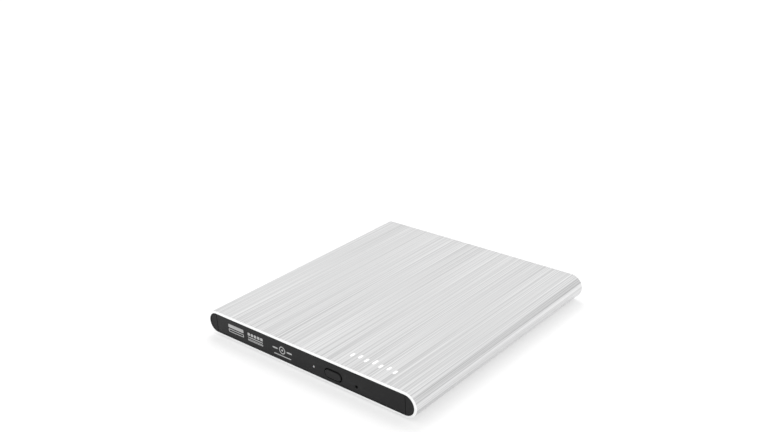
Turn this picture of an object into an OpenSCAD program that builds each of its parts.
// Slim external optical drive: a tray-loading drive module in an extruded
// aluminium sleeve. Millimetres, +Z up, front faces -Y. The origin is on the
// desk plane, under the centre of the sleeve.

/* [Sleeve] */
// Width of the sleeve, side to side
body_w = 141; // [141:0.5:146]
// Depth of the sleeve, front to rear
body_d = 146; // [146:0.5:152]
// Wall thickness of the extrusion
wall = 1.25; // [1.0:0.05:1.3]
// Polished chamfer on the front and rear rims
rim_chamfer = 0.45; // [0.2:0.05:0.6]
// Height of the rubber feet below the sleeve
foot_h = 1.0; // [0.8:0.1:2]

/* [Front] */
// Width of the tray bezel, the standard for a slim drive
bezel_w = 127.8; // [127:0.1:127.8]
// How far the bezel face sits behind the sleeve rim
bezel_inset = 0.4; // [0.3:0.1:0.6]
// Width of the eject button
button_w = 10.7; // [8:0.1:11.5]
// Height of the eject button
button_h = 4.6; // [4:0.1:4.8]
// Eject button centre, from the middle of the front
button_x = 19.6; // [16:0.1:22]
// Activity light centre
led_x = 6.6; // [5:0.1:10]
// Emergency eject hole centre
pin_x = 34.4; // [33.6:0.1:35.2]
// Emergency eject hole height above the desk
pin_z = 5.65; // [5.4:0.05:6.5]
// Emergency eject hole radius
pin_r = 0.6; // [0.5:0.05:0.7]

/* [Disc] */
// Radius of the disc recess in the tray
recess_r = 61; // [60.6:0.1:61]
// Hub boss radius, for a 15 mm disc hole
hub_r = 7.4; // [7.3:0.05:7.45]
// Radius of the turntable under the disc
table_r = 13.4; // [12.5:0.1:13.4]

/* [Pickup] */
// Distance of the lens from the hub when parked
lens_in = 24; // [24:0.5:26]
// Lead screw pitch
screw_pitch = 3; // [2.5:0.5:3]
// Guide rod radius
rod_r = 1.0; // [0.8:0.1:1.0]

/* [Hidden] */
$fn = 64;

body_h = 13.4;
zc = foot_h + body_h / 2;          // mid height
zd = zc - 7.7;                     // shift of the drive stack with foot height
yf = -body_d / 2;
yb = body_d / 2;
inner_w = body_w - 2 * wall;
inner_h = body_h - 2 * wall;
flat_x = (body_w - body_h) / 2;
fx = 64.05;                        // inner face of the side frames
face_y = yf + bezel_inset;         // bezel face
yd = yf + 73;                      // shift of the drive stack with depth
z_btn = 6.5;                       // height of the button row
cy = -7.7;                         // disc centre
rod_y = 15.5;
screw_y = -20;
rod_z = 6.5;
nut_x = lens_in - 1;
lens_z = 8.12;
post = [49.5, -36];
pivot = [47, -50];
release = 10;
mounts = [[-14.5, -14.8], [-14.5, 17], [58.5, 20.4]];   // traverse dampers
posts = [[-3, -17.6], [-3, 17.6], [48, 18.4]];          // traverse cover posts

// ---------- helpers ----------
module stadium(w, h) {
  square([w - h, h], center = true);
  for (s = [-1, 1]) translate([s * (w - h) / 2, 0]) circle(d = h, $fn = 96);
}
// half stadium end, only the part beyond the flat
module stadium_ends(w, h, x0) {
  difference() { stadium(w, h); square([2 * x0, h + 1], center = true); }
}
module prism_y(y0, y1) { translate([0, y1, 0]) rotate([90, 0, 0]) linear_extrude(y1 - y0) children(); }
module prism_x(x0, x1) { translate([x0, 0, 0]) rotate([90, 0, 90]) linear_extrude(x1 - x0) children(); }
module box(x0, x1, y0, y1, z0, z1) { translate([x0, y0, z0]) cube([x1 - x0, y1 - y0, z1 - z0]); }
module round_box(x0, x1, y0, y1, z0, z1, r) {
  translate([0, 0, z0]) linear_extrude(z1 - z0) rounded2d(x0, x1, y0, y1, r);
}
module rounded2d(x0, x1, y0, y1, r) {
  translate([x0 + r, y0]) square([x1 - x0 - 2 * r, y1 - y0]);
  translate([x0, y0 + r]) square([x1 - x0, y1 - y0 - 2 * r]);
  for (x = [x0 + r, x1 - r], y = [y0 + r, y1 - r]) translate([x, y]) circle(r);
}
module cyl(x, y, z0, z1, r) { translate([x, y, z0]) cylinder(h = z1 - z0, r = r); }
module cyl_y(x, z, y0, y1, r) { translate([x, y1, z]) rotate([90, 0, 0]) cylinder(h = y1 - y0, r = r); }
module cyl_x(y, z, x0, x1, r) { translate([x0, y, z]) rotate([0, 90, 0]) cylinder(h = x1 - x0, r = r); }
module tube(x, y, z0, z1, ro, ri) { difference() { cyl(x, y, z0, z1, ro); cyl(x, y, z0 - 1, z1 + 1, ri); } }
module sides() { for (s = [0, 1]) mirror([s, 0, 0]) children(); }
module drive() { translate([0, yd, zd]) children(); }              // drive stack frame
module trav() { drive() translate([0, cy, 0]) rotate([0, 0, 225]) children(); } // hub frame, +X along the pickup travel
module screw(r_head, h_head, r, len) {  // head up, shaft down from z = 0
  difference() {
    union() { cylinder(h = h_head, r = r_head); translate([0, 0, -len]) cylinder(h = len + 0.01, r = r); }
    for (a = [0, 90]) rotate([0, 0, a]) translate([-r_head * 0.6, -0.15, h_head * 0.45]) cube([r_head * 1.2, 0.3, h_head]);
  }
}

// ---------- enclosure ----------
module sleeve_outer() {
  translate([0, 0, zc]) {
    // flat middle, chamfered at both ends
    prism_x(-flat_x, flat_x) polygon([[yf, -body_h / 2 + rim_chamfer], [yf + rim_chamfer, -body_h / 2],
      [yb - rim_chamfer, -body_h / 2], [yb, -body_h / 2 + rim_chamfer], [yb, body_h / 2 - rim_chamfer],
      [yb - rim_chamfer, body_h / 2], [yf + rim_chamfer, body_h / 2], [yf, body_h / 2 - rim_chamfer]]);
    for (s = [0, 1]) mirror([s, 0, 0]) translate([flat_x, 0, 0]) rotate([-90, 0, 0])
      rotate([0, 0, -90]) rotate_extrude(angle = 180, $fn = 128) polygon([[0, yf], [body_h / 2 - rim_chamfer, yf],
        [body_h / 2, yf + rim_chamfer], [body_h / 2, yb - rim_chamfer], [body_h / 2 - rim_chamfer, yb], [0, yb]]);
  }
}
module sleeve() color("silver") difference() {
  sleeve_outer();
  translate([0, 0, zc]) prism_y(yf - 1, yb + 1) stadium(inner_w, inner_h);
}
module rear_panel() color([0.1, 0.1, 0.11]) difference() {
  union() {
    translate([0, 0, zc]) prism_y(yb - 2.8, yb - bezel_inset) stadium(inner_w - 0.1, inner_h - 0.1);
    for (x = [-45, 0, 38]) drive() box(x - 4, x + 4, 62, 70.25, 2.6, 4.15);
  }
  drive() translate([28, 0, 6.6]) prism_y(60, 80) stadium(9.3, 3.55);
  for (s = [-1, 1]) {
    cyl_y(s * 66.4, zc, yb - 4, yb + 1, 1.05);
    cyl_y(s * 66.4, zc, yb - 1.3, yb + 1, 1.9);
  }
  for (x = [-45, 38]) drive() cyl(x, 66, 3.2, 5, 0.7);
}
module side_frame() color([0.13, 0.13, 0.14]) difference() {
  translate([0, 0, zc]) {
    prism_y(face_y + 3.6, yb - 2.85) intersection() {
      stadium(inner_w - 0.1, inner_h - 0.1);
      translate([fx, -10]) square([20, 20]);
    }
    prism_y(face_y, face_y + 3.7) intersection() {              // nose, with a shadow gap round it
      stadium(inner_w - 0.5, inner_h - 0.5);
      translate([fx, -10]) square([20, 20]);
    }
  }
  for (i = [0:5]) box(fx + 0.9, 80, yf + 8 + i * 21.5, yf + 8 + i * 21.5 + 18.5, zc - 3.9, zc + 3.9);
  cyl_y(66.4, zc, yb - 12, yb, 0.8);
}
module feet() color([0.09, 0.09, 0.09]) for (x = [-52, 52], y = [-58, 58]) {
  cyl(x, y, 0, foot_h, 4.5);
}
module rear_screws() color([0.7, 0.7, 0.72]) for (s = [-1, 1])
  translate([s * 66.4, yb - 1.3, zc]) rotate([-90, 0, 0]) screw(1.8, 0.85, 0.78, 8);

// ---------- drive chassis ----------
module chassis_pan() color([0.72, 0.73, 0.75]) drive() difference() {
  union() {
    box(-63.95, 63.95, -69.2, 57, 2.95, 3.45);
    sides() box(63.45, 63.95, -69.2, 57, 2.95, 11.8);
    box(-63.95, 63.95, 56.5, 57, 2.95, 11.8);
    sides() for (y = [-60, 48]) box(60.6, 63.5, y, y + 5, 11.3, 11.8);
    box(-58.4, -54.8, 19.0, 19.5, 3.4, 7.2);                    // ejector stop
    for (x = [-52, 52]) cyl(x, 46, 3.4, 4.3, 2.2);              // board bosses
    cyl(0, 26, 3.4, 4.3, 2.2);
  }
  box(-57, -21, 55, 58, 4.6, 8.6);                              // connector window
  sides() for (y = [-60, 48]) cyl(61.9, y + 2.5, 11, 12, 0.7);
  for (x = [-52, 52]) cyl(x, 46, 2.9, 4.4, 0.7);
  cyl(0, 26, 2.9, 4.4, 0.7);
  for (x = [-40, 0, 40], y = [-50, 20]) if (!(x == 0 && y == 20)) round_box(x - 6, x + 6, y - 1.2, y + 1.2, 2.9, 3.5, 1.1);
}
module chassis_cover() color([0.75, 0.76, 0.78]) drive() difference() {
  union() {
    box(-63.95, 63.95, -69.2, 57, 11.82, 12.22);
    tube(0, cy, 12.2, 12.42, 47, 44.5);                         // stiffening rings
    tube(0, cy, 12.2, 12.42, 22, 20);
    for (a = [0:60:300]) translate([0, cy, 12.2]) rotate([0, 0, a]) translate([24, -1.2, 0]) cube([18.5, 2.4, 0.22]);
  }
  sides() for (y = [-57.5, 50.5]) cyl(61.9, y, 11, 13, 0.9);
}
module cover_screws() color([0.3, 0.3, 0.32]) drive() sides() for (y = [-57.5, 50.5])
  translate([61.9, y, 12.22]) screw(1.5, 0.35, 0.68, 1.2);
module guide() color([0.2, 0.2, 0.21]) drive() difference() {
  box(61.2, 63.4, -68, 56, 4.3, 8.1);
  box(60, 62.95, -70, 60, 4.7, 7.7);
}
module rail() color([0.78, 0.78, 0.8]) drive() difference() {
  box(60.9, 62.9, -68.5, 50, 4.75, 7.65);
  box(60, 62.45, -70, 60, 5.15, 7.25);
  for (y = [-58, -20, 20]) round_box(61.4, 64, y, y + 9, 3, 10, 0.2);
}
module main_board() color([0.05, 0.28, 0.16]) drive() difference() {
  union() {
    round_box(-54, 54, 21, 55.6, 4.3, 4.9, 1.5);
    box(-51, -31, 21.6, 25.2, 3.64, 4.3);                       // ribbon connector, underside
  }
  for (x = [-52, 52]) cyl(x, 46, 4, 5, 0.75);
  cyl(0, 26, 4, 5, 0.75);
}
module main_board_chips() color([0.08, 0.08, 0.09]) drive() {
  box(-12, 2, 34, 48, 4.9, 6.1);
  box(12, 22, 30, 36, 4.9, 6.0);
  box(28, 34, 40, 46, 4.9, 5.9);
  box(12, 17, 42, 47, 4.9, 6.4);
  for (i = [0:5]) box(36 + i * 2.4, 37.2 + i * 2.4, 32, 34, 4.9, 5.5);
  for (p = [[26, 50], [40, 50.5], [-18, 30], [-24, 42]]) cyl(p[0], p[1], 4.9, 7.4, 2);
}
module drive_connector() color([0.06, 0.06, 0.07]) drive() difference() {
  union() {
    box(-56, -22, 50.5, 56.2, 4.92, 8.2);
    box(-54.5, -35, 56, 60.2, 6.2, 7.2);                        // power tongue
    box(-33, -23.5, 56, 60.2, 6.2, 7.2);                        // signal tongue
  }
  for (x = [-49:4:-29]) box(x, x + 1.4, 50, 52, 7.6, 9);
}
module bridge_board() color([0.05, 0.2, 0.32]) drive() difference() {
  round_box(-58, 42, 58.2, 70.15, 4.17, 4.97, 0.8);
  for (x = [-45, 38]) cyl(x, 66, 4, 5.2, 0.75);
}
module bridge_chips() color([0.08, 0.08, 0.09]) drive() {
  box(-12, -5, 60.5, 67.5, 4.99, 5.9);
  box(2, 7, 61, 65, 4.99, 5.8);
  box(10, 13.2, 60.5, 62.1, 4.99, 6.0);
  for (i = [0:3]) box(14 + i * 2, 15 + i * 2, 66.5, 68, 4.99, 5.5);
  cyl(19, 62.4, 4.99, 7.2, 1.6);
}
module bridge_connector() color([0.07, 0.07, 0.08]) drive() difference() {
  box(-57.2, -20.8, 57.3, 63.4, 4.99, 8.5);
  box(-54.7, -34.8, 56, 61, 6.0, 7.4);
  box(-33.2, -23.3, 56, 61, 6.0, 7.4);
}
module usb_socket() color([0.8, 0.8, 0.82]) drive() translate([28, 0, 6.6]) {
  difference() {
    prism_y(65.2, 72.4 + (body_d - 146) / 2) stadium(8.94, 3.2);
    prism_y(66, 90) stadium(8.34, 2.6);
  }
  prism_y(66, 71.4) square([6.7, 0.7], center = true);
}
module board_screws() color([0.75, 0.75, 0.78]) drive() {
  for (p = [[-52, 46], [52, 46], [0, 26]]) translate([p[0], p[1], 4.9]) screw(1.5, 0.8, 0.68, 1.8);
  for (x = [-45, 38]) translate([x, 66, 4.97]) screw(1.4, 0.8, 0.66, 1.6);
}
module latch_post() color([0.8, 0.8, 0.8]) drive() { cyl(post[0], post[1], 3.45, 7.1, 1.0); cyl(post[0], post[1], 7.1, 7.4, 1.3); }
module flex_cable() color([0.85, 0.6, 0.25]) drive() prism_x(-50, -32) difference() {
  union() {
    translate([-52, 3.5]) square([76, 0.12]);
    translate([-52, 3.75]) square([51, 0.12]);
    translate([-52, 3.685]) circle(0.185);
  }
  translate([-52, 3.685]) circle(0.065);
  translate([-52, 3.62]) square([76, 0.13]);
}

// ---------- tray ----------
module window2d() {
  difference() {
    union() {
      rounded2d(-15.5, 56, -21, 21, 3);
      translate([50, -7]) square([10.5, 14]);
    }
    translate([50, -30]) rotate(45) square([20, 20], center = true);
  }
}
module tray() color([0.12, 0.12, 0.13]) {
  difference() {
    union() {
      drive() difference() {
        round_box(-63, 63, -69.8, 54.6, 8.25, 10.8, 1.0);
        translate([0, cy, 8.9]) cylinder(h = 5, r = recess_r, $fn = 180);
      }
      // lower frame
      drive() difference() {
        box(-60.3, 60.3, -69.8, 18, 4.25, 8.3);
        box(-58.6, 58.6, -68.2, 16.6, 4, 8.25);
      }
      drive() sides() box(58.8, 60.3, 16, 54, 4.9, 8.3);
      drive() sides() box(60.2, 62.4, -62, 52, 5.2, 7.2);       // tongues in the rails
      // ribs and bosses under the deck
      drive() for (x = [-44, 0, 12, 44]) box(x, x + 1, -68.4, -63, 5.9, 8.3);
      drive() for (p = [[4.5, -60], [27, -60]]) cyl(p[0], p[1], 5.52, 8.3, 1.2);
      drive() for (s = [[24, 43.5, 2], [30, 57, 8]]) box(s[0], s[1], s[2], s[2] + 1, 7.6, 8.3);
      drive() cyl(pivot[0], pivot[1], 7.05, 8.3, 2.4);
      drive() cyl_y(-56.6, 6.4, -13.4, 17.9, 2.15);              // ejector housing
      drive() box(-58.7, -54.45, -13.4, 17.9, 6.4, 8.3);
      trav() for (p = mounts) cyl(p[0], p[1], 5.62, 8.3, 2.5);
    }
    trav() translate([0, 0, 4]) linear_extrude(10) window2d();
    trav() for (p = mounts) cyl(p[0], p[1], 4, 7.7, 0.78);
    drive() cyl(pivot[0], pivot[1], 6, 8.6, 0.9);
    drive() cyl_y(-56.6, 6.4, -12, 16.4, 1.6);
    drive() cyl_y(-56.6, 6.4, -12, 19, 1.06);
    drive() box(post[0] - 1.6, post[0] + 1.6, 10, 19, 4, 8.0);   // post channel
    drive() box(2.5, 29, -71, -67.9, 4.0, 8.05);                // button and light window
    drive() translate([button_x, 0, z_btn]) prism_y(-71, -69.15) stadium(button_w + 1.9, button_h + 1.1);
    drive() cyl_y(pin_x, pin_z, -71, -67, 0.9);
    drive() for (x = [-52, 52]) box(x - 2.6, x + 2.6, -71, -64.9, 9.25, 10.25);
    drive() box(-51, -31, 16, 19, 4, 6);
    drive() sides() for (y = [-52, -20, 30]) box(56.5, 64, y, y + 10, 10.1, 11);  // finger scallops
  }
}
module bezel() color([0.13, 0.13, 0.14]) difference() {
  union() {
    box(-bezel_w / 2, bezel_w / 2, face_y, yf + 3.2, zc - inner_h / 2 + 0.24, zc + inner_h / 2 - 0.24);
    drive() for (x = [-52, 52]) box(x - 2.5, x + 2.5, -69.9, -65, 9.3, 10.2);
  }
  translate([button_x, 0, zd + z_btn]) prism_y(yf - 1, yf + 5) stadium(button_w + 0.35, button_h + 0.35);
  translate([button_x, 0, zd + z_btn]) prism_y(yf + 2.4, yf + 5) stadium(button_w + 1.9, button_h + 1.1);
  cyl_y(led_x, zd + z_btn, yf - 1, yf + 5, 0.66);
  cyl_y(pin_x, zd + pin_z, yf - 1, yf + 5, pin_r);
}
module tray_undercover() color([0.7, 0.71, 0.72]) drive() difference() {
  round_box(-60.2, 60.2, -69.2, 17.9, 3.97, 4.2, 1.5);
  box(post[0] - 1.8, post[0] + 1.8, post[1] - 1.8, 20, 3, 5);
  translate([0, cy, 0]) rotate([0, 0, 225]) for (p = mounts) cyl(p[0], p[1], 3, 5, 2.2);
  box(-51, -31, -5, 1, 3, 5);
  for (x = [-45, -15, 15, 42], y = [-58, 12]) round_box(x - 4, x + 4, y - 1, y + 1, 3, 5, 0.9);
}
module traverse_plate() color([0.66, 0.67, 0.69]) trav() difference() {
  union() {
    translate([0, 0, 4.3]) linear_extrude(0.5) union() {
      rounded2d(-17.5, 64, -15.5, 19, 2);
      rounded2d(-5.5, 64, -19, 0, 2);
      rounded2d(0, 61, -22.6, -10, 1.5);
      for (p = mounts) translate(p) circle(3.0);
    }
    for (x = [11, 62.1], y = [-rod_y, rod_y]) box(x, x + 1.4, y - 1.9, y + 1.9, 4.75, 8.0);
    box(59.1, 60.3, screw_y - 1.5, screw_y + 1.5, 4.75, 7.9);
    for (p = posts) cyl(p[0], p[1], 4.75, 8.33, 1.1);
  }
  box(14.5, 61, -13.9, 13.9, 4, 5);
  for (p = mounts) cyl(p[0], p[1], 4, 5, 1.65);
  for (y = [-rod_y, rod_y]) cyl_x(y, rod_z, 10, 66, rod_r);
  cyl_x(screw_y, rod_z, 57, 62, 0.55);
  for (a = [60:60:300]) rotate([0, 0, a]) cyl(14.8, 0, 4, 5, 1.0);
}
module traverse_cover() color([0.2, 0.2, 0.21]) trav() difference() {
  translate([0, 0, 8.34]) linear_extrude(0.26) difference() {
    rounded2d(-15.1, 55.6, -20.6, 20.6, 2.8);
    circle(14.4);
    rounded2d(12, 80, -12, 12, 2);
    translate([50, -30]) rotate(45) square([21, 21], center = true);
  }
  for (p = posts) cyl(p[0], p[1], 8, 9, 0.6);
}
module dampers() color([0.15, 0.15, 0.16]) trav() for (p = mounts) {
  tube(p[0], p[1], 4.3, 4.85, 1.63, 1.0);
  tube(p[0], p[1], 4.83, 5.6, 2.6, 1.0);
}
module traverse_screws() color([0.25, 0.25, 0.27]) trav() for (p = mounts)
  translate([p[0], p[1], 4.28]) mirror([0, 0, 1]) screw(1.9, 0.5, 0.77, 3.2);
module spindle_bearing() color([0.75, 0.6, 0.3]) trav() difference() {
  union() { cyl(0, 0, 4.8, 5.25, 11.5); cyl(0, 0, 5.2, 7.3, 2.4); }
  cyl(0, 0, 4.9, 9, 1.03);
}
module stator_core() color([0.45, 0.46, 0.48]) trav() {
  tube(0, 0, 5.75, 6.45, 4.4, 2.42);
  for (a = [0:40:320]) rotate([0, 0, a]) {
    box(4.2, 9.6, -0.5, 0.5, 5.75, 6.45);
    intersection() { tube(0, 0, 5.75, 6.45, 10.5, 9.5); box(8, 12, -2.6, 2.6, 5, 7); }
  }
}
module stator_coils() color([0.72, 0.38, 0.16]) trav() for (a = [0:40:320]) rotate([0, 0, a]) difference() {
  round_box(5.3, 9.2, -1.15, 1.15, 5.35, 6.85, 0.4);
  box(5, 10, -0.52, 0.52, 5.73, 6.47);
}
module rotor_cup() color([0.74, 0.75, 0.76]) trav() {
  tube(0, 0, 7.5, 8.0, 12.0, 1.0);
  tube(0, 0, 5.5, 7.52, 12.0, 11.4);
}
module rotor_magnet() color([0.16, 0.16, 0.17]) trav() tube(0, 0, 5.6, 7.45, 11.38, 10.75);
module turntable() color([0.1, 0.1, 0.11]) trav() difference() {
  union() {
    cyl(0, 0, 8.0, 9.3, table_r);
    cyl(0, 0, 9.2, 10.75, hub_r);
    translate([0, 0, 10.75]) cylinder(h = 0.45, r1 = hub_r, r2 = hub_r - 1.1);
  }
  cyl(0, 0, 7.9, 9.8, 1.0);
  cyl(0, 0, 10.9, 12, 3.6);
  tube(0, 0, 8.9, 9.4, table_r - 0.3, 10.9);
  for (a = [30, 150, 270]) rotate([0, 0, a]) box(3.9, 9, -1.6, 1.6, 9.7, 12);
}
module friction_ring() color([0.22, 0.22, 0.23]) trav() tube(0, 0, 8.9, 9.4, table_r - 0.32, 10.92);
module spindle_shaft() color([0.85, 0.85, 0.87]) trav() cyl(0, 0, 5.0, 9.6, 1.0);
module claw(a) color([0.85, 0.84, 0.8]) trav() rotate([0, 0, a]) translate([0, 1.5, 0]) rotate([90, 0, 0])
  linear_extrude(3) polygon([[5.0, 9.75], [7.2, 9.75], [7.2, 10.55], [7.75, 10.62], [7.75, 10.72], [7.0, 11.15], [5.6, 11.15], [5.0, 10.8]]);
module guide_rods() color([0.86, 0.86, 0.88]) trav() for (y = [-rod_y, rod_y]) cyl_x(y, rod_z, 11, 63.5, rod_r);
module sled_motor() color([0.78, 0.78, 0.8]) trav() difference() {
  union() { cyl_x(screw_y, rod_z, 3.5, 13.5, 1.68); cyl_x(screw_y, rod_z, 13.4, 14.1, 1.1); }
  cyl_x(screw_y, rod_z, 6, 15, 0.55);
}
module light_pipe() color([0.9, 0.93, 0.95]) cyl_y(led_x, zd + z_btn, face_y - 0.05, yf + 5.9, 0.62);
module front_board() color([0.05, 0.28, 0.16]) drive() union() {
  round_box(2.8, 28.6, -67.6, -58, 4.9, 5.5, 0.4);
  box(led_x - 0.9, led_x + 0.9, -67.05, -66, 5.5, 7.2);         // light emitter
}
module tact_switch() color([0.3, 0.3, 0.32]) drive() difference() {
  box(button_x - 2.6, button_x + 2.6, -67.2, -63.6, 5.5, 7.9);
  cyl_y(button_x, z_btn, -68, -65.5, 0.78);
}
module switch_plunger() color([0.85, 0.85, 0.85]) drive() cyl_y(button_x, z_btn, -68.0, -66.3, 0.72);
module eject_button() color([0.14, 0.14, 0.15]) translate([button_x, 0, zd + z_btn]) {
  prism_y(face_y - 0.3, yf + 2.5) stadium(button_w, button_h);
  prism_y(yf + 2.45, yf + 3.15) stadium(button_w + 1.6, button_h + 0.8);
  cyl_y(0, 0, yf + 3.1, yf + 5.0, 0.85);
}
module solenoid() color([0.2, 0.2, 0.22]) drive() difference() {
  union() {
    round_box(34.2, 42.8, -48.6, -38.5, 4.3, 7.9, 0.6);
    box(33.4, 43.6, -48.9, -48.2, 4.3, 8.0);
    box(33.4, 43.6, -38.9, -38.2, 4.3, 8.0);
  }
  cyl_y(38.5, rod_z - 0.25, -49.5, -41, 1.3);
}
module solenoid_plunger() color([0.8, 0.8, 0.82]) drive() {
  cyl_y(38.5, rod_z - 0.25, -50.6, -43.2, 1.2);
}
module lever2d() {
  difference() {
    union() {
      polygon([[46.5, -52.2], [49.3, -50.6], [52.5, -46], [53.8, -39], [53.6, -33.6], [51.8, -32.4],
        [49.4, -33.5], [49.0, -34.9], [50.9, -34.9], [50.9, -37.5], [50, -43], [48, -47.8],
        [45.4, -48.8], [33.3, -56.4], [34, -58.2]]);
      translate(pivot) circle(2.4);
    }
    translate(pivot) circle(0.95);
  }
}
module latch_lever() color([0.88, 0.87, 0.82]) drive()
  translate([pivot[0], pivot[1], 5.6]) rotate([0, 0, -release]) translate([-pivot[0], -pivot[1], 0]) linear_extrude(1.35) lever2d();
module latch_pivot_pin() color([0.8, 0.8, 0.8]) drive() { cyl(pivot[0], pivot[1], 5.1, 8.6, 0.9); cyl(pivot[0], pivot[1], 5.1, 5.45, 1.6); }
module coil(r, wire, y0, y1, turns, steps) {
  n = turns * steps;
  for (k = [0:n - 1]) hull() for (j = [0, 1]) let (t = (k + j) / n, a = 360 * turns * t)
    translate([r * cos(a), y0 + (y1 - y0) * t, r * sin(a)]) sphere(r = wire, $fn = 6);
}
module ejector_spring() color([0.8, 0.8, 0.82]) drive() translate([-56.6, 0, 6.4]) coil(1.2, 0.18, -11.75, -5.65, 8, 12);
module ejector_plunger() color([0.9, 0.9, 0.88]) drive() {
  cyl_y(-56.6, 6.4, -5.4, -3.4, 1.52);
  cyl_y(-56.6, 6.4, -3.5, 18.3, 1.0);
  cyl_y(-56.6, 6.4, 18.2, 18.9, 1.5);
}
module flex_connector() color([0.9, 0.9, 0.86]) drive() box(-50.5, -31.5, -4.4, 0.4, 3.9, 5.2);

// ---------- pickup ----------
module pickup_body() color([0.5, 0.51, 0.53]) trav() difference() {
  union() {
    translate([lens_in, 0, 5.0]) linear_extrude(3.1) polygon([[-8.8, -10], [-8.8, 10], [-6, 13.4], [3, 13.4],
      [4.5, 10], [4.5, -10], [3, -13.4], [-6, -13.4]]);
    for (x = [lens_in - 11.4, lens_in - 0.5]) cyl_x(rod_y, rod_z, x, x + 4, 1.6);
    box(lens_in - 11.4, lens_in + 3.5, 12.4, 14.2, 5.2, 7.8);
    cyl_x(-rod_y, rod_z, lens_in - 5, lens_in + 2, 1.6);
    box(lens_in - 5, lens_in + 2, -15, -13, 5.2, 7.8);
  }
  for (y = [-rod_y, rod_y]) cyl_x(y, rod_z, 0, 70, rod_r + 0.04);
  round_box(lens_in - 5.6, lens_in + 3.3, -7, 7, 6.2, 9, 0.5);
  box(lens_in - 8.9, lens_in - 7.4, -6, 6, 6.4, 9);
}
module pickup_nut() color([0.9, 0.9, 0.86]) trav() union() {
  box(nut_x - 2, nut_x + 2, -18.75, -17.12, 5.6, 7.4);
  box(nut_x - 0.4, nut_x + 0.4, -19.1, -18.7, 6.3, 6.7);
}
module lens_holder() color([0.1, 0.1, 0.11]) trav() difference() {
  union() {
    round_box(lens_in - 3.6, lens_in + 2.6, -4.2, 4.2, 6.8, 7.9, 0.5);
    cyl(lens_in, 0, 7.8, lens_z, 2.6);
  }
  cyl(lens_in, 0, 6, 9, 1.9);
}
module objective_lens() color([0.45, 0.6, 0.8, 0.8]) trav() {
  cyl(lens_in, 0, 7.2, 7.9, 1.88);
  translate([lens_in, 0, 7.88]) cylinder(h = 0.34, r1 = 1.7, r2 = 1.0);
}
module lead_screw() color([0.82, 0.82, 0.84]) trav() {
  cyl_x(screw_y, rod_z, 6.5, 60.2, 0.5);
  translate([16, screw_y, rod_z]) rotate([0, 90, 0]) rotate([0, 0, 270 - 360 / screw_pitch * (nut_x - 16)])
    linear_extrude(height = 42, twist = -360 * 42 / screw_pitch, slices = 210, $fn = 10) union() {
      circle(r = 0.74, $fn = 12);
      polygon(concat([[0, 0]], [for (a = [-45:30:45]) [1.1 * cos(a), 1.1 * sin(a)]]));
    }
}

sleeve();
rear_panel();
mirror([1, 0, 0]) side_frame();  // side_frame_left
side_frame();  // side_frame_right
feet();
rear_screws();
chassis_pan();
chassis_cover();
cover_screws();
mirror([1, 0, 0]) guide();  // guide_left
guide();  // guide_right
main_board();
main_board_chips();
drive_connector();
bridge_board();
bridge_chips();
bridge_connector();
usb_socket();
board_screws();
latch_post();
flex_cable();
tray();
bezel();
tray_undercover();
traverse_plate();
traverse_cover();
dampers();
traverse_screws();
spindle_bearing();
stator_core();
stator_coils();
guide_rods();
sled_motor();
light_pipe();
front_board();
tact_switch();
solenoid();
latch_pivot_pin();
ejector_spring();
flex_connector();
mirror([1, 0, 0]) rail();  // rail_left
rail();  // rail_right
eject_button();
switch_plunger();
latch_lever();
solenoid_plunger();
ejector_plunger();
rotor_cup();
rotor_magnet();
turntable();
friction_ring();
spindle_shaft();
claw(30);  // claw_1
claw(150);  // claw_2
claw(270);  // claw_3
pickup_body();
pickup_nut();
lens_holder();
objective_lens();
lead_screw();
